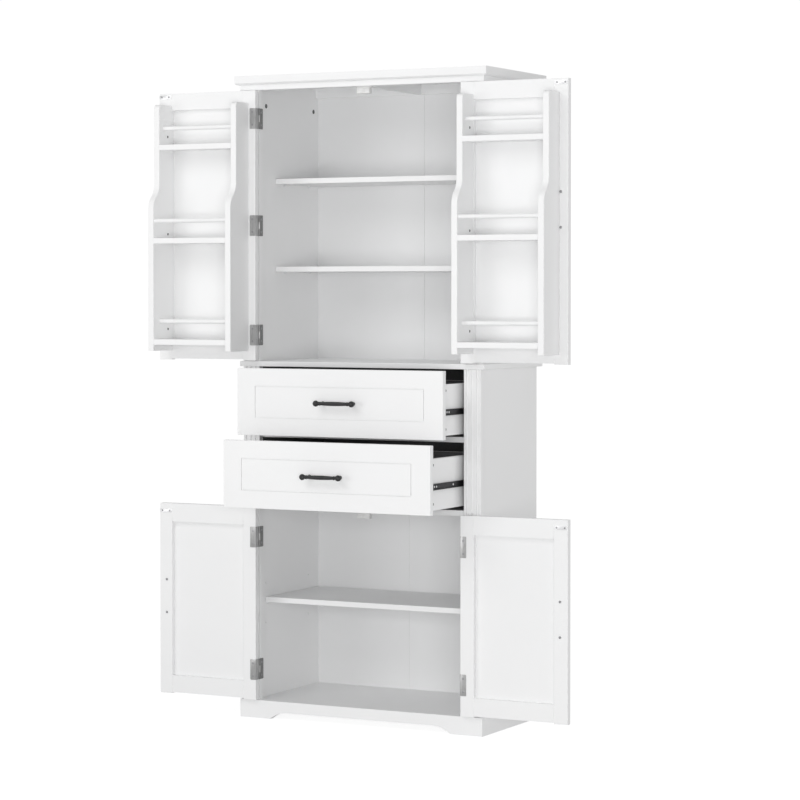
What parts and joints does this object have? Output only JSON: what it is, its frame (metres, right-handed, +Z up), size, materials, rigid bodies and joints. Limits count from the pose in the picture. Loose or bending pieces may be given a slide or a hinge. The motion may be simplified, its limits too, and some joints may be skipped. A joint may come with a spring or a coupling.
{
  "type": "pantry cabinet",
  "caption": "Tall white pantry cabinet with hinged doors above and below, drawers between, shelves, and guard-rod racks on the long doors.",
  "frame": {"origin": "on the floor, under the middle of the crown's outline", "axes": "+Z up, -Y out of the front, +X to the right as seen from the front"},
  "size_m": [1.297, 0.6215, 1.84],
  "materials": {
    "white_painted_board": "satin white paint on fibreboard",
    "white_back_board": "matt white hardboard",
    "dark_liner_board": "matt dark board, out of sight beside the drawers",
    "black_metal": "matt black",
    "black_slide_steel": "black electroplated steel",
    "hinge_steel": "satin nickel",
    "bright_steel": "bright plated",
    "pin_steel": "plated",
    "white_plastic": "moulded"
  },
  "bodies": {
    "cabinet": {"bottom_board": "white_painted_board", "crown_frame": "white_painted_board", "crown_top_board": "white_painted_board", "drawer_bay_liners": "dark_liner_board", "drawer_divider_rail": "white_painted_board", "drawer_floor_board": "white_painted_board", "frame_hinges": "hinge_steel", "ledge_board": "white_painted_board", "lower_back_panels": "white_back_board", "lower_left_side_panel": "white_painted_board", "lower_pilasters": "white_painted_board", "lower_right_side_panel": "white_painted_board", "lower_shelf": "white_painted_board", "magnetic_catches": "white_plastic", "plinth_frame": "white_painted_board", "plinth_front": "white_painted_board", "shelf_pins": "pin_steel", "slide_outer_members": "black_slide_steel", "upper_back_panel": "white_back_board", "upper_left_side_panel": "white_painted_board", "upper_pilasters": "white_painted_board", "upper_right_side_panel": "white_painted_board", "upper_shelf_high": "white_painted_board", "upper_shelf_low": "white_painted_board"},
    "upper_left_door": {"left_rack_rods": "white_painted_board", "left_rack_shelves": "white_painted_board", "left_rack_sides": "white_painted_board", "upper_left_door_frame": "white_painted_board", "upper_left_door_handle": "black_metal", "upper_left_door_hinge_leaves": "hinge_steel", "upper_left_door_panel": "white_painted_board", "upper_left_strike_plate": "bright_steel"},
    "upper_right_door": {"right_rack_rods": "white_painted_board", "right_rack_shelves": "white_painted_board", "right_rack_sides": "white_painted_board", "upper_right_door_frame": "white_painted_board", "upper_right_door_handle": "black_metal", "upper_right_door_hinge_leaves": "hinge_steel", "upper_right_door_panel": "white_painted_board", "upper_right_strike_plate": "bright_steel"},
    "upper_drawer": {"upper_drawer_box": "white_painted_board", "upper_drawer_front": "white_painted_board", "upper_drawer_handle": "black_metal", "upper_drawer_slides": "black_slide_steel"},
    "upper_slide_cages": {"upper_slide_ball_cages": "black_slide_steel"},
    "lower_left_door": {"lower_left_door_frame": "white_painted_board", "lower_left_door_handle": "black_metal", "lower_left_door_hinge_leaves": "hinge_steel", "lower_left_door_panel": "white_painted_board", "lower_left_strike_plate": "bright_steel"},
    "lower_right_door": {"lower_right_door_frame": "white_painted_board", "lower_right_door_handle": "black_metal", "lower_right_door_hinge_leaves": "hinge_steel", "lower_right_door_panel": "white_painted_board", "lower_right_strike_plate": "bright_steel"},
    "lower_drawer": {"lower_drawer_box": "white_painted_board", "lower_drawer_front": "white_painted_board", "lower_drawer_handle": "black_metal", "lower_drawer_slides": "black_slide_steel"},
    "lower_slide_cages": {"lower_slide_ball_cages": "black_slide_steel"}
  },
  "joints": [
    {"name": "upper_left_door_hinge", "type": "hinge", "parent": "cabinet", "child": "upper_left_door", "pos_m": [-0.3245, -0.1862, 1.4115], "axis": [0, 0, 1], "range_deg": [0, 180]},
    {"name": "upper_right_door_hinge", "type": "hinge", "parent": "cabinet", "child": "upper_right_door", "pos_m": [0.3245, -0.1862, 1.4115], "axis": [0, 0, 1], "range_deg": [-180, 0]},
    {"name": "lower_left_door_hinge", "type": "hinge", "parent": "cabinet", "child": "lower_left_door", "pos_m": [-0.3245, -0.1862, 0.331], "axis": [0, 0, 1], "range_deg": [0, 180]},
    {"name": "lower_right_door_hinge", "type": "hinge", "parent": "cabinet", "child": "lower_right_door", "pos_m": [0.3245, -0.1862, 0.331], "axis": [0, 0, 1], "range_deg": [-180, 0]},
    {"name": "upper_drawer_slide", "type": "slide", "parent": "cabinet", "child": "upper_drawer", "axis": [0, -1, 0], "range_m": [-0.12602, 0.13598]},
    {"name": "upper_cage_travel", "type": "slide", "parent": "cabinet", "child": "upper_slide_cages", "axis": [0, -1, 0], "range_m": [-0.06301, 0.06799]},
    {"name": "lower_drawer_slide", "type": "slide", "parent": "cabinet", "child": "lower_drawer", "axis": [0, -1, 0], "range_m": [-0.202, 0.06]},
    {"name": "lower_cage_travel", "type": "slide", "parent": "cabinet", "child": "lower_slide_cages", "axis": [0, -1, 0], "range_m": [-0.101, 0.03]}
  ],
  "couplings": [
    {"joint": "upper_cage_travel", "follows": "upper_drawer_slide", "ratio": 0.5},
    {"joint": "lower_cage_travel", "follows": "lower_drawer_slide", "ratio": 0.5}
  ]
}
